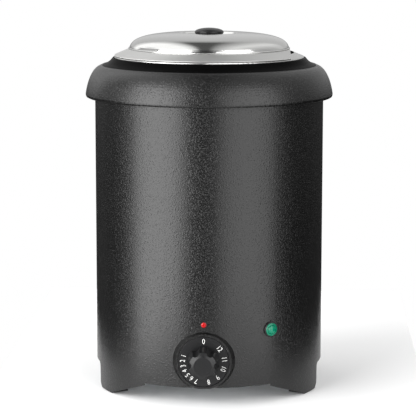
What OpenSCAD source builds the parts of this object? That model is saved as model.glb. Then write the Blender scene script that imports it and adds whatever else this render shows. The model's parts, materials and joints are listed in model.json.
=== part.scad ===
// Soup kettle: a wet-heat bain-marie with a lift-out pot and a notched lid.
// Millimetres. +Z is up, the control knob faces -Y, and the table is at z = 0.

/* [Body] */
// Diameter of the rolled body
body_d = 250; // [244:1:330]
// Thickness of the body sheet
body_wall = 0.8; // [0.6:0.1:1.2]
// Height of the collar's top edge above the table
collar_top_z = 352.8; // [330:1:440]
// Height of the front and rear arches in the skirt
arch_h = 21; // [19:1:24]
// Height of the side arches in the skirt
side_arch_h = 28; // [24:1:30]
// Half angle of the front arch, from its middle
arch_half_angle = 32.3; // [29:0.1:34]
// Angle where the flat of each foot starts
foot_start = 57.5; // [54:0.5:59]
// Angle where each foot ends
foot_end = 72; // [69:0.5:74]
// Turn of the skirt cut-outs from the knob
skirt_turn = 1.7; // [0:0.1:3]
// Gap between the skirt's edge and the table
skirt_gap = 0.8; // [0.5:0.1:2]

/* [Collar] */
// How far the collar's lip stands out from the body
collar_overhang = 10.3; // [8:0.1:12]
// Height of the lip below the collar's top edge
collar_lip_drop = 31; // [28:0.5:34]
// Height of the hem rolled under the lip
collar_hem = 3.2; // [2:0.1:5]
// How far the collar's top edge stands in from the body
collar_set_in = 6.8; // [5:0.1:8]
// Wall of the collar
collar_wall = 1.6; // [1.2:0.1:2.2]

/* [Pot] */
// Outer diameter of the pot
pot_d = 187; // [150:0.2:192]
// Depth of the pot, from its rim to its underside
pot_depth = 214; // [150:1:216]
// Sheet of the pot, the well and the lid
pan_wall = 0.8; // [0.6:0.1:1.2]
// Width of the pot's sloping flange
pot_flange_w = 9.2; // [6:0.1:12]
// Radius of the rolled bead on the pot's rim
bead_r = 1.1; // [0.9:0.1:1.4]
// Height of the pot's bead above the collar's top edge
bead_rise = 8.8; // [8:0.1:12]

/* [Well] */
// Gap for water between the pot and the well
water_gap = 10; // [8:0.5:12]
// Height of water under the pot
water_depth = 21; // [15:1:30]

/* [Lid] */
// Slope of the brim: rise for each millimetre of width
brim_slope = 0.44; // [0.35:0.01:0.55]
// Width of the brim
brim_w = 16.6; // [12:0.2:20]
// Rise of the dome above the brim
dome_h = 16.8; // [12:0.2:22]
// Radius of the finger recess at its top
recess_r = 32; // [28:0.5:38]
// Depth of the finger recess
recess_depth = 12.6; // [8:0.2:14]
// Width of brim left outside the dome in the ladle notch
notch_margin = 0.4; // [0.3:0.1:2]
// Angle of the ladle notch from the knob
notch_angle = 92.5; // [60:0.5:120]
// Radius of the lid knob's head
lid_knob_r = 15.8; // [13:0.2:18]
// Height of the lid knob
lid_knob_h = 17.9; // [15:0.1:20]

/* [Controls] */
// Height of the control knob's axis
knob_z = 50; // [48:0.5:60]
// Diameter of the knob's dial
dial_d = 54; // [46:0.5:56]
// Thickness of the dial
dial_t = 3.1; // [2.4:0.1:4]
// Diameter of the grip where it meets the dial
grip_d = 34.4; // [28:0.2:38]
// Diameter of the grip at its front
grip_front_d = 28.5; // [24:0.2:32]
// Length of the grip
grip_len = 21.2; // [15:0.2:24]
// Diameter of the thermostat's shaft
shaft_d = 6; // [5:0.1:6.4]
// Angle of the pilot lamp from the knob
pilot_angle = 34.1; // [30:0.1:60]
// Height of the pilot lamp
pilot_z = 80.6; // [70:0.2:100]
// Diameter of the pilot lamp's bezel
pilot_d = 16.6; // [14:0.2:20]
// Height of the red index stud above the knob's axis
index_rise = 39; // [38:0.5:50]
// Diameter of the red index stud
index_d = 5.5; // [4:0.1:7]

/* [Fits] */
// Gap between bodies that lift apart
lift_gap = 0.35; // [0.3:0.05:0.6]
// Radial running clearance of the thermostat's shaft
run_gap = 0.05; // [0.02:0.01:0.09]
// Gap round the dial
dial_gap = 0.35; // [0.3:0.05:0.8]
// Gap between pieces that are fixed to each other
fixed_gap = 0.1; // [0.05:0.05:0.2]

/* [Hidden] */
$fn = 96;
tiny = 0.01;

body_r = body_d / 2;
body_in_r = body_r - body_wall;
collar_in_r = body_r - collar_set_in;
lip_r = body_r + collar_overhang;
lip_z = collar_top_z - collar_lip_drop;
collar_z = lip_z - collar_hem;

// The base plate sits above the side arches.
plate_z = side_arch_h + 2;
plate_r = body_in_r - fixed_gap;
plate_flange_h = 8;

// The pot hangs on the seat ring by its bead.
pot_r = pot_d / 2;
bead_z = collar_top_z + bead_rise;
bead_ring_r = pot_r + pot_flange_w;
rim_r = bead_ring_r + bead_r;
shelf_z = bead_z - bead_r - lift_gap;
pot_top_z = bead_z + bead_r + pot_flange_w * brim_slope;
pot_floor_z = pot_top_z - pot_depth;
pot_corner_r = 9;

// The well hangs on its own flange, under the seat ring.
well_in_r = pot_r + water_gap;
well_r = well_in_r + pan_wall;
well_rim_z = collar_top_z - 2;
well_floor_z = pot_floor_z - water_depth - pan_wall;
well_corner_r = 10;
ring_bottom_z = well_rim_z + pan_wall;

// The lid's brim lies on the pot's flange.
brim_r = rim_r;
brim_rise = brim_w * brim_slope;
brim_z = bead_z + bead_r + lift_gap;
dome_r = brim_r - brim_w;
dome_z = brim_z + brim_rise + pan_wall;
dome_top_z = dome_z + dome_h;
recess_floor_z = dome_top_z - recess_depth;
recess_floor_r = recess_r - 8;

// The boss is a flat round pad that stands out of the body round the dial.
boss_y = body_r + 3;
boss_r = dial_d / 2 + 2.7;
boss_hole_r = dial_d / 2 + dial_gap;
boss_taper = 0.45;
boss_floor_depth = 3.6;
boss_len = 12;
dial_back_y = boss_y - boss_floor_depth + 0.8;
dial_front_y = dial_back_y + dial_t;
grip_front_y = dial_front_y + grip_len;
shaft_r = shaft_d / 2;
shaft_hole_r = shaft_r + 2.2;

// Thermostat case, behind the boss's floor.
case_front_y = boss_y - boss_floor_depth - body_wall;
case_w = 34;
case_len = 17;
cover_len = 9;
case_back_y = case_front_y - case_len;
screw_pitch = 28;

pilot_r = pilot_d / 2;
pilot_tube_r = 5.4;
index_z = knob_z + index_rise;

gland_z = 56;
gland_r = 8;
gland_reach = grip_front_y - body_r;

// Heating element: a ring of tube under the well, on a spreader plate.
spreader_t = 2;
spreader_r = 84;
element_r = 4;
element_ring_r = 62;
element_z = well_floor_z - spreader_t - element_r;
clamp_z = element_z - element_r - 1.5;
stud_r = 3;

terminal_spot = [30, 40];
terminal_top = plate_z + body_wall + 18;
earth_spot = [-40, 62];
cutout_spot = [-34, 24];
tie_rod_r = 3;
tie_ring_r = 72;
tie_angles = [30, 150, 270];

black = [0.06, 0.06, 0.065];
steel = [0.75, 0.75, 0.76];
galvanised = [0.6, 0.62, 0.64];
plastic = [0.1, 0.1, 0.1];

// Point on a cubic curve with four guide points.
function curve_point(p, t) =
    pow(1 - t, 3) * p[0] + 3 * t * pow(1 - t, 2) * p[1]
    + 3 * t * t * (1 - t) * p[2] + pow(t, 3) * p[3];

// Points along that curve, from its first guide point to its last.
function curve(p, steps) = [for (i = [0:steps]) curve_point(p, i / steps)];

// Points on a circular arc between two angles.
function arc(c, r, a, b, steps) =
    [for (i = [0:steps]) c + r * [cos(a + (b - a) * i / steps), sin(a + (b - a) * i / steps)]];

// A list of points in the opposite order.
function reversed(list) = [for (i = [len(list) - 1:-1:0]) list[i]];

// Put something at an angle round the body, facing outwards along -Y.
module at_angle(angle) {
    rotate([0, 0, angle]) children();
}

// Lay something that points along +Z so that it points along -Y.
module facing_front() {
    rotate([90, 0, 0]) children();
}

module ring(outer_r, inner_r, h) {
    difference() {
        cylinder(r = outer_r, h = h);
        translate([0, 0, -1]) cylinder(r = inner_r, h = h + 2);
    }
}

// A sector of a ring between two angles, measured from -Y towards +X.
module sector(outer_r, inner_r, h, from, to) {
    rotate([0, 0, from - 90])
        rotate_extrude(angle = to - from)
            translate([inner_r, 0]) square([outer_r - inner_r, h]);
}

// A round tube swept along points, as one closed skin.
module swept_tube(points, r, sides = 8) {
    last = len(points) - 1;
    function way(i) =
        let (a = points[max(i - 1, 0)], b = points[min(i + 1, last)]) (b - a) / norm(b - a);
    function side_way(w) =
        let (s = cross(w, [0.19, 0.31, 0.93])) s / norm(s);
    rings = [for (i = [0:last])
        let (w = way(i), u = side_way(w), v = cross(w, u))
        for (k = [0:sides - 1])
            points[i] + r * (u * cos(360 * k / sides) + v * sin(360 * k / sides))];
    function corner(i, k) = i * sides + k % sides;
    walls = [for (i = [0:last - 1]) for (k = [0:sides - 1]) for (half = [0, 1])
        half == 0 ? [corner(i, k), corner(i + 1, k + 1), corner(i, k + 1)]
            : [corner(i, k), corner(i + 1, k), corner(i + 1, k + 1)]];
    start_cap = [[for (k = [0:sides - 1]) k]];
    end_cap = [[for (k = [sides - 1:-1:0]) corner(last, k)]];
    polyhedron(rings, concat(walls, start_cap, end_cap));
}

// A smooth way through a start, two guides and an end, just clear of what it meets.
module wire(start, guide_a, guide_b, end, r) {
    clear = 5 * fixed_gap;
    from = start + clear * (guide_a - start) / norm(guide_a - start);
    to = end + clear * (guide_b - end) / norm(guide_b - end);
    swept_tube(curve([from, guide_a, guide_b, to], 22), r);
}

// ---- body ----

module boss_cone(gap) {
    slope_gap = gap * 1.1;
    translate([0, -boss_y + boss_len, knob_z]) facing_front()
        cylinder(r1 = boss_r + boss_len * boss_taper - slope_gap, r2 = boss_r - slope_gap,
            h = boss_len);
}

module boss_cup() {
    cup_r = boss_hole_r + body_wall;
    floor_y = -boss_y + boss_floor_depth + body_wall;
    translate([0, floor_y, knob_z]) facing_front()
        difference() {
            cylinder(r = cup_r, h = boss_floor_depth + body_wall);
            translate([0, 0, body_wall]) cylinder(r = boss_hole_r, h = boss_floor_depth + 1);
            translate([0, 0, -1]) cylinder(r = shaft_hole_r, h = body_wall + 2);
            for (side = [-1, 1])
                translate([side * screw_pitch / 2, 0, -1]) cylinder(r = 2.1, h = body_wall + 2);
        }
}

module boss_wall() {
    difference() {
        boss_cone(0);
        difference() {
            boss_cone(body_wall);
            translate([-50, -boss_y - 1, 0]) cube([100, 1 + body_wall, 120]);
        }
        translate([0, 0, -1]) cylinder(r = body_in_r, h = 200);
        translate([0, -boss_y + boss_len, knob_z]) facing_front()
            cylinder(r = boss_hole_r + body_wall / 2, h = boss_len + 1);
    }
}

// One end of an arch: the sloping edge that runs down to a foot.
module slope_cut() {
    mid = (arch_half_angle + foot_start) / 2;
    top_x = body_r * sin(mid - arch_half_angle) + 0.6;
    low_x = body_r * sin(foot_start - mid);
    rotate([0, 0, mid])
        translate([0, -body_r + 20, 0]) facing_front()
            linear_extrude(40)
                polygon([[-top_x, -1], [-top_x, arch_h - 1.8], [low_x, skirt_gap], [low_x, -1]]);
}

module skirt_cuts() {
    arch_x = body_r * sin(arch_half_angle);
    side_y = body_r * cos(foot_end);
    corner = 5;
    for (back = [0, 1])
        mirror([0, back, 0]) {
            translate([-arch_x, -body_r - 10, -1]) cube([2 * arch_x, body_r, arch_h + 1]);
            for (side = [0, 1])
                mirror([side, 0, 0]) slope_cut();
        }
    translate([-body_r - 10, 0, 0])
        rotate([90, 0, 90]) linear_extrude(2 * body_r + 20)
            polygon([[-side_y - corner, -1], [-side_y - corner, skirt_gap],
                [-side_y, corner + skirt_gap], [-side_y + 1, side_arch_h - 3],
                [-side_y + 4, side_arch_h], [side_y - 4, side_arch_h],
                [side_y - 1, side_arch_h - 3], [side_y, corner + skirt_gap],
                [side_y + corner, skirt_gap], [side_y + corner, -1]]);
}

module body_shell() {
    shell_h = collar_top_z - 14;
    color(black)
    difference() {
        union() {
            difference() {
                ring(body_r, body_in_r, shell_h);
                boss_cone(0);
            }
            boss_wall();
            boss_cup();
        }
        translate([0, 0, -1]) ring(body_r + 1, body_in_r - 1, skirt_gap + 1);
        rotate([0, 0, skirt_turn]) skirt_cuts();
        translate([0, 0, index_z]) facing_front() cylinder(r = 1.6, h = body_r + 5);
        at_angle(pilot_angle)
            translate([0, 0, pilot_z]) facing_front()
                cylinder(r = pilot_tube_r + fixed_gap, h = body_r + 5);
        at_angle(180)
            translate([0, 0, gland_z]) facing_front()
                cylinder(r = gland_r + fixed_gap, h = body_r + 5);
    }
}

// The collar's outer face leans in from the lip, then rolls over to its top edge.
function collar_face(wall) =
    curve([[lip_r - wall, lip_z], [lip_r - 1.6 - wall, lip_z + 12],
        [collar_in_r + 10.4 - wall * 0.7, collar_top_z - 2.3 - wall],
        [collar_in_r, collar_top_z - wall]], 14);

module collar() {
    foot_r = body_r + fixed_gap * 2;
    web_z = lip_z - collar_hem / 2;
    bead = 0.5;
    color(black)
    rotate_extrude()
        polygon(concat([[foot_r, web_z], [lip_r - 3.4, collar_z + 0.2], [lip_r - 2, collar_z],
             [lip_r - 0.8, collar_z + 0.6], [lip_r - 0.2, collar_z + 1.8]], collar_face(0),
            [[collar_in_r - bead, collar_top_z + bead],
             [collar_in_r - collar_wall, collar_top_z],
             [collar_in_r - collar_wall, collar_top_z - collar_wall]],
            reversed(collar_face(collar_wall)),
            [[foot_r, lip_z]]));
}

// Black ring that slopes up from the collar and carries the pot's bead.
module seat_ring() {
    outer_r = collar_in_r - collar_wall - fixed_gap;
    nose_r = rim_r + lift_gap + 0.3;
    nose_z = bead_z - bead_r + 0.6;
    inner_r = pot_r + 1.6;
    color([0.02, 0.02, 0.022])
    rotate_extrude()
        polygon(concat(
            [[inner_r, shelf_z - 3], [inner_r, shelf_z], [nose_r - 0.3, shelf_z],
             [nose_r, nose_z]],
            reversed(curve([[outer_r, collar_top_z + 0.4], [outer_r - 4, collar_top_z + 2.4],
                [nose_r + 5.5, collar_top_z + 2.4], [nose_r + 1.2, nose_z]], 8)),
            [[outer_r, ring_bottom_z], [outer_r - 5, ring_bottom_z],
             [nose_r + 2, shelf_z - 5]]));
}

// ---- well and its heater ----

module pan(outer_r, wall, floor_z, top_z, corner) {
    rotate_extrude()
        polygon(concat(
            [[0, floor_z]],
            arc([outer_r - corner, floor_z + corner], corner, -90, 0, 8),
            [[outer_r, top_z], [outer_r - wall, top_z]],
            arc([outer_r - corner, floor_z + corner], corner - wall, 0, -90, 8),
            [[0, floor_z + wall]]));
}

module water_well() {
    flange_r = collar_in_r - collar_wall - fixed_gap;
    color(steel)
    union() {
        pan(well_r, pan_wall, well_floor_z, well_rim_z + pan_wall, well_corner_r);
        translate([0, 0, well_rim_z]) ring(flange_r, well_r - tiny, pan_wall);
    }
}

module insulation() {
    color([0.85, 0.83, 0.76])
    translate([0, 0, well_floor_z + well_corner_r])
        ring(min(well_r + 12, body_in_r - 1), well_r + fixed_gap,
            collar_z - 4 - well_floor_z - well_corner_r);
}

module heat_spreader() {
    color([0.78, 0.79, 0.8])
    translate([0, 0, well_floor_z - spreader_t])
        difference() {
            cylinder(r = spreader_r, h = spreader_t);
            translate([0, 0, -1]) cylinder(r = stud_r + fixed_gap, h = spreader_t + 2);
            for (a = tie_angles)
                rotate([0, 0, a]) translate([tie_ring_r, 0, -1])
                    cylinder(r = tie_rod_r + 1, h = spreader_t + 2);
        }
}

module heating_element() {
    leg = 16;
    gap_angle = 26;
    color([0.3, 0.29, 0.28])
    translate([0, 0, element_z])
        rotate([0, 0, 90 + gap_angle / 2]) {
            rotate_extrude(angle = 360 - gap_angle)
                translate([element_ring_r, 0]) circle(r = element_r);
            for (a = [0, -gap_angle])
                rotate([0, 0, a]) translate([element_ring_r, 0, -leg])
                    cylinder(r = element_r * 0.7, h = leg);
        }
}

module clamp_plate() {
    color(galvanised)
    translate([0, 0, clamp_z])
        difference() {
            union() {
                for (a = [0, 60, 120])
                    rotate([0, 0, a]) translate([-element_ring_r - 5, -9, 0])
                        cube([2 * element_ring_r + 10, 18, 1.5]);
            }
            translate([0, 0, -1]) cylinder(r = stud_r + fixed_gap, h = 4);
        }
}

module clamp_stud() {
    color(steel)
    translate([0, 0, clamp_z - 12]) cylinder(r = stud_r, h = well_floor_z - clamp_z + 12);
}

module hex_nut(across, h, hole_r) {
    difference() {
        cylinder(r = across / 2 / cos(30), h = h, $fn = 6);
        translate([0, 0, -1]) cylinder(r = hole_r, h = h + 2);
    }
}

module clamp_nut() {
    color(steel)
    translate([0, 0, clamp_z - 5]) hex_nut(10, 5, stud_r + 0.05);
}

module thermal_cutout() {
    color([0.16, 0.1, 0.07])
    translate([cutout_spot[0], cutout_spot[1], clamp_z - 17]) {
        cylinder(r = 8, h = 10);
        for (side = [-1, 1])
            translate([side * 5 - 0.4, -3, -8]) cube([0.8, 6, 8]);
    }
}

module cutout_bracket() {
    color(galvanised)
    translate([cutout_spot[0], cutout_spot[1], 0])
        difference() {
            union() {
                translate([-13, -8, clamp_z - 7]) cube([26, 16, 1]);
                for (side = [-13, 12])
                    translate([side, -8, clamp_z - 7]) cube([1, 16, 7]);
            }
            translate([0, 0, clamp_z - 8]) cylinder(r = 3, h = 3);
        }
}

module tie_rods() {
    color(galvanised)
    for (a = tie_angles)
        rotate([0, 0, a]) translate([tie_ring_r, 0, plate_z - 7])
            cylinder(r = tie_rod_r, h = well_floor_z - plate_z + 7);
}

module tie_rod_nuts() {
    color(steel)
    for (a = tie_angles)
        rotate([0, 0, a]) translate([tie_ring_r, 0, plate_z - 5])
            hex_nut(10, 5, tie_rod_r + 0.05);
}

// ---- base ----

module base_plate() {
    color(galvanised)
    difference() {
        union() {
            translate([0, 0, plate_z]) cylinder(r = plate_r, h = body_wall);
            translate([0, 0, plate_z]) ring(plate_r, plate_r - body_wall, plate_flange_h);
        }
        for (a = tie_angles)
            rotate([0, 0, a]) translate([tie_ring_r, 0, plate_z - 1])
                cylinder(r = tie_rod_r + 0.3, h = 3);
        translate([earth_spot[0], earth_spot[1], plate_z - 1]) cylinder(r = 2.1, h = 3);
        for (row = [0:6])
            translate([-36 + 12 * row, -20, plate_z - 1]) cylinder(r = 2.5, h = 3);
        for (a = foot_middles)
            rotate([0, 0, a - 90]) translate([foot_bolt_r, 0, plate_z - 1])
                cylinder(r = 2.1, h = 3);
        translate([-body_r, -2 * body_r, plate_z - 1])
            cube([2 * body_r, 2 * body_r - case_front_y + fixed_gap, plate_flange_h + 2]);
        translate([-case_w / 2 - 1.5, -body_r, plate_z + body_wall])
            cube([case_w + 3, 30, plate_flange_h]);
    }
}

foot_middles = [for (back = [0, 1]) for (side = [-1, 1])
    skirt_turn + (back == 0 ? side * 63.5 : 180 - side * 63.5)];
foot_bolt_r = body_in_r - 14;
foot_bracket_r = body_in_r - 6.2;

module foot_brackets() {
    t = 1.5;
    color(galvanised)
    for (a = foot_middles)
        difference() {
            union() {
                translate([0, 0, 4])
                    sector(foot_bracket_r, foot_bracket_r - t, plate_z - 4, a - 4.5, a + 4.5);
                translate([0, 0, plate_z - t])
                    sector(foot_bracket_r, foot_bracket_r - 16, t, a - 4.5, a + 4.5);
                translate([0, 0, 4])
                    sector(foot_bracket_r, foot_bracket_r - 12, t, a - 4.5, a + 4.5);
            }
            rotate([0, 0, a - 90]) translate([foot_bolt_r, 0, plate_z - 3])
                cylinder(r = 2.1, h = 4);
        }
}

module foot_pads() {
    color([0.03, 0.03, 0.03])
    for (a = foot_middles) {
        sector(body_in_r - 0.3, foot_bracket_r - 14, 4, a - 5.6, a + 5.6);
        translate([0, 0, 4])
            sector(body_in_r - 0.3, foot_bracket_r + fixed_gap, 5, a - 5.6, a + 5.6);
    }
}

module base_screws() {
    color(steel)
    for (a = foot_middles)
        rotate([0, 0, a - 90]) translate([foot_bolt_r, 0, 0]) {
            translate([0, 0, plate_z - 1.5 - 2.4]) cylinder(r = 3.8, h = 2.4);
            translate([0, 0, plate_z - 1.5]) cylinder(r = 2, h = 8);
        }
}

// ---- thermostat and controls ----

module thermostat_case() {
    color([0.88, 0.87, 0.82])
    translate([0, -case_front_y, knob_z])
        difference() {
            translate([-case_w / 2, 0, -case_w / 2]) cube([case_w, case_len, case_w]);
            translate([0, case_len + 1, 0]) facing_front()
                cylinder(r = shaft_r + run_gap, h = case_len + 2);
            for (side = [-1, 1])
                translate([side * screw_pitch / 2, 8, 0]) facing_front()
                    cylinder(r = 2.05, h = 9);
        }
}

module thermostat_cover() {
    edge = case_w + 2;
    color([0.2, 0.2, 0.21])
    translate([0, -case_back_y, knob_z])
        difference() {
            translate([-edge / 2, 0, -edge / 2]) cube([edge, cover_len, edge]);
            translate([0, 3, 0]) facing_front() cylinder(r = shaft_r + 1, h = 4);
        }
}

module thermostat_terminals() {
    color([0.8, 0.65, 0.3])
    for (i = [-1, 0, 1])
        translate([i * 10 - 3, -case_back_y + cover_len, knob_z + 2]) cube([6, 8, 0.8]);
}

module thermostat_screws() {
    color(steel)
    for (side = [-1, 1])
        translate([side * screw_pitch / 2, -case_front_y + 7, knob_z]) facing_front() {
            cylinder(r = 2, h = 7 + body_wall);
            translate([0, 0, 7 + body_wall]) cylinder(r1 = 3.3, r2 = 2.6, h = 0.4);
        }
}

bulb_spot = [20, -40];
bulb_z = clamp_z - 4;
bulb_len = 70;

module sensor_bulb() {
    color([0.75, 0.45, 0.3])
    translate([bulb_spot[0] + bulb_len / 2, bulb_spot[1], bulb_z])
        rotate([0, -90, 0]) cylinder(r = 3, h = bulb_len);
}

module bulb_clips() {
    color(galvanised)
    for (side = [-1, 1])
        translate([bulb_spot[0] + side * 22, bulb_spot[1], bulb_z])
            rotate([0, 90, 0]) translate([0, 0, -3])
                difference() {
                    union() {
                        ring(4.1, 3.1, 6);
                        translate([-5, 3.1, 0]) cube([6, 1, 6]);
                    }
                    translate([0, -8, -1]) cube([8, 8, 8]);
                }
}

module capillary_tube() {
    start = [bulb_spot[0] - bulb_len / 2, bulb_spot[1], bulb_z];
    end = [-8, -case_back_y + cover_len, knob_z + 12];
    color([0.72, 0.42, 0.25])
    wire(start, start + [-40, 0, 0], end + [-16, 30, 6], end, 0.8);
}

// Flutes are cut between six lobes, and one lobe points at the index.
module fluted_grip() {
    flute_r = 5;
    flute_out = grip_d / 2 + 1.6;
    flute_lean = 5.5;
    bevel = 2.2;
    flat_r = 9.6;
    difference() {
        union() {
            cylinder(r1 = grip_d / 2, r2 = grip_front_d / 2, h = grip_len - bevel);
            translate([0, 0, grip_len - bevel])
                cylinder(r1 = grip_front_d / 2, r2 = flat_r, h = bevel);
        }
        for (i = [0:5])
            rotate([0, 0, 30 + 60 * i]) translate([0, flute_out, 0])
                rotate([flute_lean, 0, 0]) translate([0, 0, -6]) cylinder(r = flute_r, h = 40);
    }
}

module control_knob() {
    bore_depth = 15;
    bore_r = shaft_r + 0.9;
    edge = 0.6;
    color(plastic)
    translate([0, -dial_back_y, knob_z]) facing_front()
        difference() {
            union() {
                cylinder(r = dial_d / 2, h = dial_t - edge);
                translate([0, 0, dial_t - edge])
                    cylinder(r1 = dial_d / 2, r2 = dial_d / 2 - edge, h = edge);
                translate([0, 0, dial_t]) fluted_grip();
            }
            difference() {
                translate([0, 0, -1]) cylinder(r = bore_r, h = bore_depth + 1);
                translate([bore_r * 0.66, -10, -2]) cube([10, 20, bore_depth + 3]);
            }
        }
}

module knob_spring() {
    color(steel)
    translate([0, -dial_back_y - 1, knob_z]) facing_front()
        difference() {
            ring(shaft_r + 0.8, shaft_r + 0.05, 12);
            translate([shaft_r * 0.55, -10, -1]) cube([10, 20, 14]);
        }
}

module thermostat_shaft() {
    flat_len = 14;
    shaft_front_y = dial_back_y + 13.5;
    shaft_back_y = case_back_y + 0.5;
    len = shaft_front_y - shaft_back_y;
    color(steel)
    translate([0, -shaft_back_y, knob_z]) facing_front()
        difference() {
            cylinder(r = shaft_r, h = len);
            translate([shaft_r * 0.5, -10, len - flat_len]) cube([10, 20, flat_len + 1]);
        }
}

module index_stud() {
    crown_h = 1;
    color([0.85, 0.05, 0.05])
    translate([0, -body_r, index_z]) facing_front() {
        translate([0, 0, -4]) cylinder(r = 1.5, h = 4 + tiny);
        cylinder(r = index_d / 2, h = 0.5);
        translate([0, 0, 0.5]) cylinder(r1 = index_d / 2, r2 = index_d / 2 - 1.2, h = crown_h);
    }
}

module pilot_bezel() {
    color(plastic)
    at_angle(pilot_angle)
        translate([0, -body_r, pilot_z]) facing_front()
            difference() {
                union() {
                    translate([0, 0, 0.3]) cylinder(r = pilot_r, h = 0.9);
                    translate([0, 0, 1.2]) cylinder(r1 = pilot_r, r2 = pilot_r - 0.6, h = 0.7);
                }
                cylinder(r = pilot_r - 1.3, h = 3);
            }
}

module pilot_lens() {
    lens_r = pilot_r - 1.4;
    color([0, 0.4, 0.3])
    at_angle(pilot_angle)
        translate([0, -body_r, pilot_z]) facing_front()
            rotate_extrude()
                polygon([[0, 0.3], [lens_r, 0.3], [lens_r, 1.8], [lens_r - 0.5, 2.4],
                    [lens_r - 1.6, 2.7], [lens_r - 2.2, 2.2], [lens_r - 3, 3.2],
                    [lens_r - 5, 3.8], [0, 4]]);
}

module pilot_lamp_tube() {
    color([0.85, 0.85, 0.8])
    at_angle(pilot_angle)
        translate([0, -body_r + 24, pilot_z]) facing_front() {
            cylinder(r = pilot_tube_r, h = 24.3);
            for (side = [-1, 1])
                translate([side * 3 - 0.4, -2.4, -7]) cube([0.8, 4.8, 7]);
        }
}

module pilot_lamp_nut() {
    color([0.85, 0.85, 0.8])
    at_angle(pilot_angle)
        translate([0, -body_in_r + 4.6, pilot_z]) facing_front()
            ring(pilot_tube_r + 3, pilot_tube_r + 0.05, 3);
}

// ---- mains side ----

module terminal_block() {
    color([0.92, 0.92, 0.88])
    translate([terminal_spot[0], terminal_spot[1], plate_z + body_wall])
        difference() {
            translate([-17, -11, 0]) cube([34, 22, 18]);
            for (i = [-1, 0, 1]) {
                translate([i * 10.5, -12, 9]) rotate([-90, 0, 0]) cylinder(r = 2.6, h = 24);
                for (side = [-1, 1])
                    translate([i * 10.5, side * 6, 12]) cylinder(r = 2.3, h = 8);
            }
        }
}

module terminal_screws() {
    color([0.8, 0.65, 0.3])
    for (i = [-1, 0, 1]) for (side = [-1, 1])
        translate([terminal_spot[0] + i * 10.5, terminal_spot[1] + side * 6, terminal_top - 5])
            difference() {
                cylinder(r = 2.2, h = 4);
                translate([-3, -0.4, 3]) cube([6, 0.8, 2]);
            }
}

module earth_stud() {
    color([0.8, 0.65, 0.3])
    translate([earth_spot[0], earth_spot[1], plate_z - 2.4]) {
        cylinder(r = 3.8, h = 2.4);
        cylinder(r = 2, h = 18);
    }
}

module earth_nut() {
    color(steel)
    translate([earth_spot[0], earth_spot[1], plate_z + body_wall]) hex_nut(7, 3.2, 2.05);
}

module cable_gland() {
    color(plastic)
    at_angle(180)
        translate([0, -body_r, gland_z]) facing_front()
            difference() {
                union() {
                    translate([0, 0, -12]) cylinder(r = gland_r, h = 22);
                    cylinder(r = 11.5 / cos(30), h = 6, $fn = 6);
                }
                translate([0, 0, -13]) cylinder(r = 4, h = 30);
            }
}

module gland_cap() {
    color(plastic)
    at_angle(180)
        translate([0, -body_r, gland_z]) facing_front()
            difference() {
                union() {
                    translate([0, 0, 7]) cylinder(r = 11, h = gland_reach - 13);
                    translate([0, 0, gland_reach - 6]) cylinder(r1 = 11, r2 = 6.5, h = 6);
                }
                translate([0, 0, 6]) cylinder(r = gland_r + 0.05, h = gland_reach - 12);
                translate([0, 0, 6]) cylinder(r = 4, h = gland_reach);
            }
}

module gland_lock_nut() {
    color(plastic)
    at_angle(180)
        translate([0, -body_in_r + 6, gland_z]) facing_front() hex_nut(21, 5, gland_r + 0.05);
}

// ---- wiring held inside ----

wire_r = 1.3;
case_tab_y = -case_back_y + cover_len + 8;

module live_wire() {
    start = [terminal_spot[0] - 10.5, terminal_spot[1] - 11, plate_z + 10];
    end = [10, case_tab_y, knob_z + 2.4];
    color([0.35, 0.2, 0.1])
    wire(start, start + [0, -30, 0], end + [0, 26, 8], end, wire_r);
}

module heater_wire() {
    start = [-10, case_tab_y, knob_z + 2.4];
    end = [cutout_spot[0], cutout_spot[1], clamp_z - 25];
    color([0.1, 0.1, 0.1])
    wire(start, start + [0, 34, 0], end + [0, -10, -26], end, wire_r);
}

module neutral_wire() {
    start = [terminal_spot[0], terminal_spot[1] + 11, plate_z + 10];
    leg_a = 13;
    end = [element_ring_r * sin(leg_a), element_ring_r * cos(leg_a), element_z - 16];
    color([0.1, 0.2, 0.6])
    wire(start, start + [0, 22, 0], end + [0, 0, -30], end, wire_r);
}

module earth_wire() {
    start = [terminal_spot[0] + 10.5, terminal_spot[1] + 11, plate_z + 10];
    end = [earth_spot[0], earth_spot[1] + 2.2, plate_z + body_wall + 7];
    color([0.3, 0.6, 0.1])
    wire(start, start + [0, 46, 4], end + [20, 30, 2], end, wire_r);
}

// ---- pot and lid ----

module inner_pot() {
    slope_top = pot_top_z;
    slope_low = bead_z + bead_r;
    color(steel)
    union() {
        pan(pot_r, pan_wall, pot_floor_z, slope_top - pan_wall, pot_corner_r);
        rotate_extrude() {
            polygon([[pot_r - pan_wall, slope_top - pan_wall - tiny], [pot_r - pan_wall, slope_top],
                [bead_ring_r, slope_low], [bead_ring_r, slope_low - pan_wall],
                [pot_r, slope_top - pan_wall]]);
            translate([bead_ring_r, bead_z]) circle(r = bead_r);
        }
    }
}

function dome_curve(wall) =
    curve([[dome_r - wall, dome_z - wall * 0.4], [dome_r - 1 - wall, dome_z + 12.1 - wall],
        [dome_r - 21, dome_top_z - 0.9 - wall], [recess_r, dome_top_z - wall]], 20);

function recess_curve(wall) =
    curve([[recess_r, dome_top_z - wall], [recess_r - 4.5 + wall, dome_top_z - wall],
        [recess_floor_r + 2 + wall, recess_floor_z - wall],
        [recess_floor_r - 2, recess_floor_z - wall]], 8);

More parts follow.
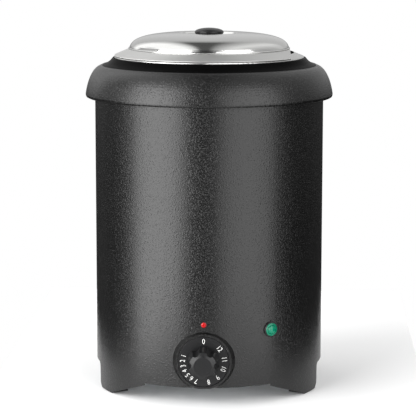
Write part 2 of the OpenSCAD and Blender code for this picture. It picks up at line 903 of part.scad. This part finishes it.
module lid() {
    color(steel)
    difference() {
        rotate_extrude() {
            polygon(concat(
                [[brim_r - 0.9, brim_z], [brim_r, brim_z + pan_wall * 0.4],
                 [brim_r - 0.5, brim_z + pan_wall + 0.3]],
                dome_curve(0), recess_curve(0),
                [[0, recess_floor_z], [0, recess_floor_z - pan_wall]],
                reversed(recess_curve(pan_wall)), reversed(dome_curve(pan_wall)),
                [[dome_r, brim_z + brim_rise]]));
        }
        rotate([0, 0, notch_angle])
            translate([-rim_r, -2 * rim_r, brim_z - 5])
                cube([2 * rim_r, 2 * rim_r - dome_r - notch_margin, 60]);
        translate([0, 0, recess_floor_z - 5]) cylinder(r = 2.6, h = 10);
    }
}

module lid_knob() {
    base_z = recess_floor_z;
    top_z = base_z + lid_knob_h;
    crown_h = 4.4;
    stem_r = 8.5;
    color(plastic)
    difference() {
        rotate_extrude()
            polygon(concat(
                [[0, base_z], [stem_r + 1.5, base_z], [stem_r, base_z + 2],
                 [stem_r, base_z + 5]],
                curve([[stem_r, base_z + 5], [stem_r + 0.5, base_z + 8],
                    [lid_knob_r - 3, base_z + 8], [lid_knob_r, top_z - crown_h - 1.2]], 6),
                [for (i = [0:8])
                    [lid_knob_r * cos(90 * i / 8), top_z - crown_h + crown_h * sin(90 * i / 8)]]));
        translate([0, 0, base_z - 1]) cylinder(r = 2.5, h = 11);
    }
}

module lid_knob_screw() {
    color(steel)
    translate([0, 0, recess_floor_z - pan_wall]) {
        translate([0, 0, -2.6])
            difference() {
                cylinder(r = 5, h = 2.6);
                for (a = [0, 90])
                    rotate([0, 0, a]) translate([-2.6, -0.5, -1]) cube([5.2, 1, 2.2]);
            }
        cylinder(r = 2.45, h = 9 + pan_wall);
    }
}

body_shell();
collar();
seat_ring();
water_well();
insulation();
base_plate();
base_screws();
foot_brackets();
foot_pads();
tie_rods();
tie_rod_nuts();
heating_element();
heat_spreader();
clamp_plate();
clamp_stud();
clamp_nut();
thermal_cutout();
cutout_bracket();
thermostat_case();
thermostat_cover();
thermostat_terminals();
thermostat_screws();
sensor_bulb();
bulb_clips();
capillary_tube();
index_stud();
pilot_bezel();
pilot_lens();
pilot_lamp_tube();
pilot_lamp_nut();
terminal_block();
terminal_screws();
earth_stud();
earth_nut();
cable_gland();
gland_cap();
gland_lock_nut();
live_wire();
heater_wire();
neutral_wire();
earth_wire();
inner_pot();
lid();
lid_knob();
lid_knob_screw();
control_knob();
knob_spring();
thermostat_shaft();
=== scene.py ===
# %% [markdown]
# A soup kettle, finished in Blender
# The kettle's frame comes from its CAD model, already at its real size. Blender adds what CAD
# leaves plain: the ridge rolled into the lid, the printed numbers, the coat of powder paint and
# the fine rings of the spun steel.

# %% Load the frame
import bpy
import json
from math import cos, pi, radians, sin
from mathutils import Matrix, Vector


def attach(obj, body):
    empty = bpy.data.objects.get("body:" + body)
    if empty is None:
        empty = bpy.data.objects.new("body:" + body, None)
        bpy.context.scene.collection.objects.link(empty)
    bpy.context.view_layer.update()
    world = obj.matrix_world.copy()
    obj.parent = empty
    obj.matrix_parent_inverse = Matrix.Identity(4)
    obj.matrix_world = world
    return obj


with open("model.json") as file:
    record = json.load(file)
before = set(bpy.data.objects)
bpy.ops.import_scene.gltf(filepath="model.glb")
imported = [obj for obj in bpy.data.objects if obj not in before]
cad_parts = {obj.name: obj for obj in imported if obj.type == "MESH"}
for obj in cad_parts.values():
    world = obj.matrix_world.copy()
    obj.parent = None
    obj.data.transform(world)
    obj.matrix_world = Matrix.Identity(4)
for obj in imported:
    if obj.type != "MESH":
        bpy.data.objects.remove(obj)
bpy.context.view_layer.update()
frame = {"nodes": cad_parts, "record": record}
nodes = frame["nodes"]

# %% [markdown]
# The kettle stands on its table at the height of a worktop, and is looked at from a little above
# with a long lens. A long lens keeps the sides of the body nearly upright. The aim is set as a
# downward tilt, so the camera needs no shift, and a hair of pan and roll squares the view.

# %% Camera
CAMERA_DISTANCE = 2.0363
CAMERA_HEIGHT = 0.5143
CAMERA_AZIMUTH = radians(2.535)
CAMERA_TILT = radians(8.94)
CAMERA_PAN = radians(0.034)
CAMERA_ROLL = radians(0.042)
FRAME_WIDTH = 416
LENS_IN_FRAME_WIDTHS = 1860 / FRAME_WIDTH
SENSOR = 36.0
NEAR_CLIP, FAR_CLIP = 0.05, 60


def add_camera():
    bpy.ops.object.camera_add(location=(0, 0, 0))
    camera = bpy.context.object
    camera.name = "view_camera"
    camera.data.sensor_width = SENSOR
    camera.data.lens = SENSOR * LENS_IN_FRAME_WIDTHS
    camera.data.clip_start, camera.data.clip_end = NEAR_CLIP, FAR_CLIP
    camera.data.dof.use_dof = False
    camera.matrix_world = (
        Matrix.Rotation(CAMERA_AZIMUTH, 4, "Z")
        @ Matrix.Translation((0, -CAMERA_DISTANCE, CAMERA_HEIGHT))
        @ Matrix.Rotation(CAMERA_PAN, 4, "Z")
        @ Matrix.Rotation(pi / 2 - CAMERA_TILT, 4, "X")
        @ Matrix.Rotation(CAMERA_ROLL, 4, "Z")
    )
    bpy.context.scene.camera = camera
    return camera


camera = add_camera()
print("camera at", [round(v, 3) for v in camera.matrix_world.translation])

# %% [markdown]
# Light and materials are written as sums. A Flow holds one output socket. Adding, subtracting or
# multiplying Flows, or raising one to a power, adds the Math node that does it, whichever side
# the plain number is on.

# %% Shader maths
class Flow:
    def __init__(self, sketch, socket):
        self.sketch, self.socket = sketch, socket

    def _math(self, operation, first, second):
        return self.sketch.node("Math", {"operation": operation}, {0: first, 1: second})

    def __add__(self, other):
        return self._math("ADD", self, other)

    def __radd__(self, other):
        return self._math("ADD", other, self)

    def __sub__(self, other):
        return self._math("SUBTRACT", self, other)

    def __rsub__(self, other):
        return self._math("SUBTRACT", other, self)

    def __mul__(self, other):
        return self._math("MULTIPLY", self, other)

    def __rmul__(self, other):
        return self._math("MULTIPLY", other, self)

    def __pow__(self, other):
        return self._math("POWER", self, other)


print("shader maths", [name for name in vars(Flow) if name.startswith("__r")])

# %% [markdown]
# A Sketch holds one node tree while it is built. Its node method makes every other kind of node,
# with its settings first and its sockets after, so a material reads from top to bottom like the
# node editor does from left to right.

# %% Node trees
class Sketch:
    def __init__(self, tree):
        self.tree = tree

    def node(self, kind, settings=None, sockets=None, output=0):
        made = self.tree.nodes.new("ShaderNode" + kind)
        for name, value in (settings or {}).items():
            if name == "stops":
                ramp = made.color_ramp.elements
                while len(ramp) < len(value):
                    ramp.new(0.5)
                for stop, (place, colour) in zip(ramp, value):
                    stop.position, stop.color = place, colour
            else:
                setattr(made, name, value)
        for name, value in (sockets or {}).items():
            if isinstance(value, Flow):
                self.tree.links.new(value.socket, made.inputs[name])
            else:
                made.inputs[name].default_value = value
        return Flow(self, made.outputs[output])

    def between(self, flow, low, high):
        return self.node("MapRange", {"clamp": True},
                         {"Value": flow, "From Min": low, "From Max": high})


def rgb(red, green, blue):
    return (red, green, blue, 1)


print("a node tree is held by", Sketch.__name__)

# %% [markdown]
# A Finish is the Sketch of one material. What is the same all over the surface is set on the
# shader's own sockets, and what changes over it is fed in. Patterns read Object coordinates, so
# they stay on their piece when a joint moves it.

# %% Materials
class Finish(Sketch):
    def __init__(self, name, **constants):
        self.material = bpy.data.materials.new(name)
        self.material.use_nodes = True
        super().__init__(self.material.node_tree)
        self.surface = self.tree.nodes["Principled BSDF"]
        for socket, value in constants.items():
            self.surface.inputs[socket.replace("_", " ")].default_value = value

    def feed(self, **flows):
        for socket, flow in flows.items():
            self.tree.links.new(flow.socket, self.surface.inputs[socket.replace("_", " ")])

    def place(self):
        return self.node("TexCoord", output="Object")

    def axis(self, number):
        return self.node("SeparateXYZ", None, {0: self.place()}, number)

    def stretched(self, scale):
        return self.node("Mapping", None, {"Vector": self.place(), "Scale": scale})

    def noise(self, scale, detail=3, roughness=0.55, vector=None, stretch=(1, 1, 1)):
        at = vector or (self.place() if stretch == (1, 1, 1) else self.stretched(stretch))
        return self.node("TexNoise", None, {"Vector": at, "Scale": scale, "Detail": detail,
                                            "Roughness": roughness})

    def blend(self, factor, first, second):
        return self.node("Mix", {"data_type": "RGBA"}, {0: factor, 6: first, 7: second}, 2)

    def bump(self, height, strength, distance):
        return self.node("Bump", None, {"Height": height, "Strength": strength,
                                        "Distance": distance})

    def radius(self):
        x, y = self.axis(0), self.axis(1)
        return (x * x + y * y) ** 0.5


print("a material is held by", Finish.__name__)

# %% [markdown]
# White cloth hangs in two halves round a catalogue studio's table, with a dark gap between them,
# and the polished lid shows it. The world makes the cloth here: a ramp across it gives the halves,
# and three fades give the plain wall behind, the dim side of the camera and the floor. The camera
# itself sees plain white.

# %% Studio air
CLOTH_GLOW = 1.7
WALL_GLOW = 0.7
WALL_FADE = (0.64, 0.8)
CAMERA_SIDE_GLOW = 0.06
CAMERA_SIDE_FADE = (-0.96, -0.6)
FLOOR_GLOW = 0.05
FLOOR_FADE = (-0.08, 0.12)
CLOTH_FROM_LEFT = ((0.0, 0.5), (0.075, 0.3), (0.1, 1.0), (0.31, 1.0), (0.38, 0.6), (0.42, 0.07),
                   (0.51, 0.07), (0.56, 0.3), (0.63, 0.5), (0.72, 0.7), (1.0, 0.3))


def dimmed(light, glow, mask):
    return light * (glow + (1 - glow) * mask)


def fill_studio_air():
    world = bpy.data.worlds.new("studio_air")
    bpy.context.scene.world = world
    world.use_nodes = True
    air = Sketch(world.node_tree)
    way = air.node("TexCoord")
    across, back, up = (air.node("SeparateXYZ", None, {0: way}, i) for i in range(3))
    stops = [(place, rgb(glow, glow, glow)) for place, glow in CLOTH_FROM_LEFT]
    cloth = air.node("ValToRGB", {"stops": stops}, {"Fac": across * 0.5 + 0.5}) * CLOTH_GLOW
    behind = air.between(back, *WALL_FADE)
    light = cloth * (1 - behind) + WALL_GLOW * behind
    light = dimmed(light, CAMERA_SIDE_GLOW, air.between(back, *CAMERA_SIDE_FADE))
    light = dimmed(light, FLOOR_GLOW, air.between(up, *FLOOR_FADE))
    seen = air.node("LightPath")
    strength = air.node("Math", {"operation": "MAXIMUM"}, {0: light, 1: seen})
    air.tree.links.new(strength.socket, air.tree.nodes["Background"].inputs["Strength"])
    air.tree.nodes["Background"].inputs["Color"].default_value = rgb(1, 1, 1)


fill_studio_air()
bpy.context.scene.view_settings.view_transform = "Standard"
print("studio air filled")

# %% [markdown]
# The kettle stands on a white table, and two big softboxes stand left and right of the camera, the
# left one brighter. On a round black body each shows as one upright band of light, and the gap
# between them shows as the dark band down the middle. An area light turned to face its target
# gives such a band with soft edges.

# %% Table and light
TABLE_FRONT, TABLE_BACK, TABLE_HALF_WIDTH = -0.4, 0.5, 0.24
BODY_MIDDLE = (0, 0, 0.2)
SOFTBOX_DISTANCE = 2.2
SOFTBOX_HEIGHT = 3.2


def add_light(name, location, target, size, power):
    bpy.ops.object.light_add(type="AREA", location=location)
    light = bpy.context.object
    light.name = name
    light.data.shape = "RECTANGLE"
    light.data.size, light.data.size_y = size
    light.data.energy = power
    towards = Vector(target) - Vector(location)
    light.rotation_euler = towards.to_track_quat("-Z", "Y").to_euler()
    return light


def stand_softbox(name, angle, width, power):
    turn = radians(angle)
    place = (SOFTBOX_DISTANCE * sin(turn), -SOFTBOX_DISTANCE * cos(turn), BODY_MIDDLE[2])
    return add_light(name, place, BODY_MIDDLE, (width, SOFTBOX_HEIGHT), power)


bpy.ops.mesh.primitive_plane_add(size=1, location=(0, (TABLE_FRONT + TABLE_BACK) / 2, 0))
table = bpy.context.object
table.name = "studio_table"
table.scale = (2 * TABLE_HALF_WIDTH, TABLE_BACK - TABLE_FRONT, 1)
softboxes = [stand_softbox("left_softbox", -49, 2.1, 135),
             stand_softbox("right_softbox", 40, 2.3, 72)]
print("stood", [light.name for light in softboxes], "at", table.name)

# %% [markdown]
# The table is covered with matt white paper. It could be one flat white, but paper has a faint
# fibre, so a fine noise moves between two whites.

# %% Table top
def table_white():
    paper = Finish("white_paper", Roughness=0.9, Specular_IOR_Level=0.1)
    fibre = paper.noise(300, 3)
    paper.feed(Base_Color=paper.blend(fibre, rgb(0.93, 0.93, 0.93), rgb(0.96, 0.96, 0.96)))
    return paper.material


table.data.materials.append(table_white())
print("covered", table.name)

# %% [markdown]
# The body and collar have a textured powder coat: the powder melts into small soft hills as it
# is baked. One noise makes the hills and a finer one the grit between them, and both are raised.
# Their tops and the grit are also painted a little paler than the hollows, as painted glints where
# the softboxes catch them. A slow noise lets the shade drift over the body. The grit is
# rougher than the rest, so the light breaks up on it.

# %% Powder coat
def powder_coat():
    coat = Finish("black_powder_coat", Specular_IOR_Level=0.42)
    hills = coat.noise(640, 1, 0.5)
    grit = coat.noise(1100, 1, 0.5)
    drift = coat.noise(9, 3, 0.6)
    tops = coat.between(hills, 0.52, 0.78)
    grit_and_glints = coat.between(grit, 0.58, 0.75)
    # The paler colour on the hill tops and the grit is a painted glint, laid over the raised
    # grain.
    coat.feed(
        Base_Color=coat.blend(tops * 0.4 + grit_and_glints * 0.5 + drift * 0.1, rgb(0.0006, 0.0006, 0.0006),
                              rgb(0.014, 0.014, 0.014)),
        Roughness=0.28 + grit_and_glints * 0.08 + drift * 0.04,
        Normal=coat.bump(tops + grit_and_glints * 0.3, 0.55, 0.00032),
    )
    return coat.material


black_body = powder_coat()
print("made", black_body.name)

# %% [markdown]
# The steel of the lid and pot is spun and then buffed as it turns, so its fine scratches run in
# rings round the axis. A noise read along the radius alone gives rings. A slow noise keeps the
# rings from being perfect. The lid's dome is buffed bright, and its brim is left satin.

# %% Spun steel
RINGS_PER_METRE = 900
RING_WANDER = 5
SATIN_EDGE = 0.001
DOME_RADIUS = 0.0878


def spun_steel(name, roughness, ring_depth, satin_from=1.0, colour=(0.62, 0.62, 0.61)):
    steel = Finish(name, Metallic=1.0)
    along = steel.radius()
    wander = steel.noise(14, 2)
    height = steel.axis(2)
    ringed = steel.node("CombineXYZ", None, {
        0: along * RINGS_PER_METRE + height * RINGS_PER_METRE, 1: wander * RING_WANDER})
    rings = steel.noise(1.0, 3, 0.6, vector=ringed)
    smudge = steel.noise(22, 4, 0.6)
    dull = tuple(v * 0.86 for v in colour)
    steel.feed(
        Base_Color=steel.blend(rings * 0.5 + smudge * 0.5, rgb(*dull), rgb(*colour)),
        Roughness=roughness + rings * 0.09 + smudge * 0.05
        + steel.between(along, satin_from, satin_from + SATIN_EDGE) * 0.3,
        Normal=steel.bump(rings, ring_depth, 0.0002),
    )
    return steel.material


steel_polished = spun_steel("polished_steel", 0.06, 0.05, satin_from=DOME_RADIUS)
steel_sheet = spun_steel("satin_steel", 0.24, 0.16)
print("made", steel_polished.name, steel_sheet.name)

# %% [markdown]
# Zinc freezes on hot-dipped sheet in flat crystals called spangle. A Voronoi texture gives each
# crystal its own shade and its own gloss. Turned and drawn metals have fine marks and stains
# instead, so one function with a stretched noise makes those, from brass to the heater's sheath.

# %% Zinc and fasteners
def galvanised_sheet():
    zinc = Finish("galvanised_sheet", Metallic=0.9)
    spangle = zinc.node("TexVoronoi", None, {"Vector": zinc.place(), "Scale": 130}, "Color")
    shade = zinc.node("SeparateColor", None, {0: spangle})
    film = zinc.noise(40, 4)
    zinc.feed(
        Base_Color=zinc.blend(shade * 0.6 + film * 0.4, rgb(0.34, 0.36, 0.37),
                              rgb(0.56, 0.58, 0.6)),
        Roughness=0.34 + shade * 0.2,
        Normal=zinc.bump(film, 0.2, 0.0004),
    )
    return zinc.material


def turned_metal(name, bright, dull, roughness, metallic=1.0):
    metal = Finish(name, Metallic=metallic)
    fine = metal.noise(900, 3, stretch=(1, 1, 0.15))
    stain = metal.noise(70, 4, 0.65)
    metal.feed(
        Base_Color=metal.blend(stain * 0.8 + fine * 0.2, rgb(*dull), rgb(*bright)),
        Roughness=roughness + fine * 0.14,
        Normal=metal.bump(fine, 0.25, 0.0002),
    )
    return metal.material


galvanised = galvanised_sheet()
steel_fastener = turned_metal("zinc_plated_steel", (0.6, 0.6, 0.58), (0.4, 0.4, 0.41), 0.28)
brass = turned_metal("brass", (0.72, 0.53, 0.22), (0.5, 0.34, 0.12), 0.26)
copper = turned_metal("copper", (0.75, 0.36, 0.22), (0.42, 0.19, 0.12), 0.3)
aluminium = turned_metal("cast_aluminium", (0.64, 0.64, 0.65), (0.45, 0.45, 0.46), 0.42)
sheath = turned_metal("heat_stained_sheath", (0.2, 0.17, 0.13), (0.06, 0.055, 0.06), 0.45, 0.8)
print("made", galvanised.name, "and five turned metals")

# %% [markdown]
# Moulded plastic and rubber take the grain of their mould. One function makes them all: a fine
# grain for the mould, a slow change of shade, and a gloss that follows the grain.

# %% Plastics, rubber and ceramic
def moulded(name, colour, roughness, grain=700, depth=0.00025, spread=0.25, **constants):
    stuff = Finish(name, **constants)
    fine = stuff.noise(grain, 3)
    slow = stuff.noise(30, 3)
    deep = tuple(v * (1 - spread) for v in colour)
    pale = tuple(min(1, v * (1 + spread) + 0.002) for v in colour)
    stuff.feed(
        Base_Color=stuff.blend(fine * 0.5 + slow * 0.5, rgb(*deep), rgb(*pale)),
        Roughness=roughness + fine * 0.1 - 0.05,
        Normal=stuff.bump(fine, 0.5, depth),
    )
    return stuff.material


# The seat ring is black, and is made darker still, with almost no reflection, as painted shade for
# the shade it lies in.
seat_black_painted_shade = moulded("seat_ring_black_painted_shade", (0.001, 0.001, 0.001), 0.3, 500, 0.0002,
                     Specular_IOR_Level=0.008)
dark_plastic = moulded("dark_plastic", (0.014, 0.014, 0.015), 0.4)
knob_plastic = moulded("knob_plastic", (0.006, 0.006, 0.0065), 0.34, 850, 0.00018,
                       Specular_IOR_Level=0.3)
rubber = moulded("black_rubber", (0.012, 0.012, 0.012), 0.78, 420, 0.0005)
white_plastic = moulded("white_nylon", (0.72, 0.71, 0.66), 0.45, spread=0.06)
ceramic = moulded("steatite", (0.8, 0.78, 0.72), 0.3, 260, 0.0002, 0.05)
red_plastic = moulded("red_plastic", (0.36, 0.003, 0.004), 0.2, spread=0.1)
ink_white = moulded("printed_ink", (0.82, 0.82, 0.8), 0.5, 900, 0.0001, 0.05)
wire_brown = moulded("brown_wire", (0.16, 0.06, 0.025), 0.4)
wire_black = moulded("black_wire", (0.015, 0.015, 0.015), 0.4)
wire_blue = moulded("blue_wire", (0.02, 0.09, 0.4), 0.4)
print("made plastics, rubber and ceramic")

# %% [markdown]
# An earth wire is green with a yellow stripe that winds round it. A sine of two coordinates winds
# the stripe. Mineral wool is a felt of glassy fibres, so its noise is stretched along them and
# its bump is deep.

# %% Earth wire and mineral wool
STRIPE_TURN, STRIPE_RISE = 900, 1400


def striped_wire():
    wire = Finish("green_yellow_wire", Roughness=0.42)
    across, upward = wire.axis(0), wire.axis(2)
    wave = wire.node("Math", {"operation": "SINE"},
                     {0: across * STRIPE_TURN + upward * STRIPE_RISE})
    fine = wire.noise(700)
    wire.feed(
        Base_Color=wire.blend(wire.between(wave, -0.1, 0.1), rgb(0.03, 0.28, 0.05),
                              rgb(0.75, 0.62, 0.04)),
        Normal=wire.bump(fine, 0.4, 0.0002),
    )
    return wire.material


def mineral_wool():
    wool = Finish("mineral_wool", Specular_IOR_Level=0.2)
    fibres = wool.noise(260, 6, 0.75, stretch=(1, 1, 4))
    tufts = wool.noise(45, 4, 0.7)
    wool.feed(
        Base_Color=wool.blend(fibres * 0.6 + tufts * 0.4, rgb(0.42, 0.36, 0.24),
                              rgb(0.78, 0.73, 0.58)),
        Roughness=0.85 + tufts * 0.1,
        Normal=wool.bump(fibres + tufts, 1.0, 0.003),
    )
    return wool.material


wire_green = striped_wire()
wool = mineral_wool()
print("made", wire_green.name, wool.name)

# %% [markdown]
# The pilot lamp's lens is clear green plastic over a small lamp that is out. It could be made of
# glass, but a lens this deep and dark shows only its skin and the green below it, so a glossy
# surface with a cloudy green does the same and stays quick to render.

# %% Green lens
def green_lens():
    lens = Finish("green_lens", IOR=1.45, Specular_IOR_Level=0.35)
    cloud = lens.noise(160, 3)
    fine = lens.noise(900, 2)
    lens.feed(
        Base_Color=lens.blend(cloud, rgb(0.0, 0.09, 0.05), rgb(0.0, 0.2, 0.11)),
        Roughness=0.12 + fine * 0.1,
        Normal=lens.bump(fine, 0.2, 0.0001),
    )
    return lens.material


lens_green = green_lens()
print("made", lens_green.name)

# %% [markdown]
# Each part's record says which finish it has. A table from those finishes to the materials made
# here dresses every part of the frame in one go.

# %% Dress the frame
MATERIAL_OF_SLOT = {
    "black_body": black_body, "black_gloss": seat_black_painted_shade, "steel_sheet": steel_sheet,
    "steel_polished": steel_polished, "galvanised": galvanised,
    "steel_fastener": steel_fastener, "mineral_wool": wool, "rubber_black": rubber,
    "element_sheath": sheath, "aluminium_plate": aluminium, "dark_plastic": dark_plastic,
    "knob_plastic": knob_plastic, "white_plastic": white_plastic, "ceramic_white": ceramic,
    "brass": brass, "copper": copper, "red_plastic": red_plastic, "green_lens": lens_green,
    "wire_brown": wire_brown, "wire_black": wire_black, "wire_blue": wire_blue,
    "wire_green": wire_green,
}


def dress(piece, material):
    piece.data.materials.clear()
    piece.data.materials.append(material)


slot_of_node = {row["node"]: row["material_slot"] for row in frame["record"]["subparts"]}
for name, node in nodes.items():
    dress(node, MATERIAL_OF_SLOT[slot_of_node[name]])
print("dressed", len(nodes), "parts")

# %% [markdown]
# A spinner stiffens a lid by rolling a small ridge where the dome meets the brim. It catches the
# light as one bright line. It is swept here as a thin ring, a little flattened.

# %% Lid ridge
RIDGE_RADIUS = 0.0873
RIDGE_HEIGHT = 0.3713
RIDGE_HALF_WIDTH = 0.0011
RIDGE_FLATNESS = 0.8
RIDGE_STEPS_ROUND, RIDGE_STEPS_ACROSS = 192, 16


def deselect():
    bpy.ops.object.select_all(action="DESELECT")


def roll_ridge():
    deselect()
    bpy.ops.mesh.primitive_torus_add(major_radius=RIDGE_RADIUS, minor_radius=RIDGE_HALF_WIDTH,
                                     major_segments=RIDGE_STEPS_ROUND,
                                     minor_segments=RIDGE_STEPS_ACROSS)
    ridge = bpy.context.object
    ridge.name = "lid_ridge"
    ridge.data.transform(Matrix.Translation((0, 0, RIDGE_HEIGHT))
                         @ Matrix.Scale(RIDGE_FLATNESS, 4, (0, 0, 1)))
    bpy.ops.object.shade_smooth()
    return ridge


lid_ridge = roll_ridge()
dress(lid_ridge, steel_polished)
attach(lid_ridge, "lid")
print("rolled", lid_ridge.name)

# %% [markdown]
# The dial's numbers are printed in white on the knob's plate, with their tops outwards, and turn
# with it. They could be an image, but letters made as text stay sharp at any distance. Each is
# turned into a mesh, centred, moved out along the dial's radius and swung to its place.

# %% Dial numbers
DIAL_FACE_Y = -0.1283
DIAL_HEIGHT = 0.05
NUMBER_RADIUS = 0.0222
NUMBER_SIZE = 0.0078
NUMBER_WIDTH = 0.8
INK_THICKNESS = 0.00006
STROKE_THINNING = -0.00008
NUMBER_ANGLES = {0: 0, 12: 50, 11: 82, 10: 110, 9: 138, 8: 166, 7: 201, 6: 216, 5: 230, 4: 244,
                 3: 258, 2: 272.5, 1: 287}


def print_number(number, angle):
    deselect()
    bpy.ops.object.text_add(location=(0, 0, 0))
    text = bpy.context.object
    text.data.body = str(number)
    text.data.size = NUMBER_SIZE
    text.data.extrude = INK_THICKNESS
    text.data.offset = STROKE_THINNING
    bpy.ops.object.convert(target="MESH")
    figure = bpy.context.object
    corners = [Vector(c) for c in figure.bound_box]
    middle = sum(corners, Vector()) / len(corners)
    figure.data.transform(
        Matrix.Translation((0, DIAL_FACE_Y, DIAL_HEIGHT))
        @ Matrix.Rotation(radians(angle), 4, "Y")
        @ Matrix.Translation((0, 0, NUMBER_RADIUS))
        @ Matrix.Rotation(pi / 2, 4, "X")
        @ Matrix.Scale(NUMBER_WIDTH, 4, (1, 0, 0))
        @ Matrix.Translation(-middle)
    )
    return figure


def join(pieces, name):
    deselect()
    for piece in pieces:
        piece.select_set(True)
    bpy.context.view_layer.objects.active = pieces[0]
    bpy.ops.object.join()
    joined = bpy.context.object
    joined.name = name
    return joined


figures = [print_number(number, angle) for number, angle in NUMBER_ANGLES.items()]
dial_numbers = join(figures, "dial_numbers")
dress(dial_numbers, ink_white)
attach(dial_numbers, "knob")
print("printed", len(figures), "numbers", len(dial_numbers.data.polygons), "faces")

# %% [markdown]
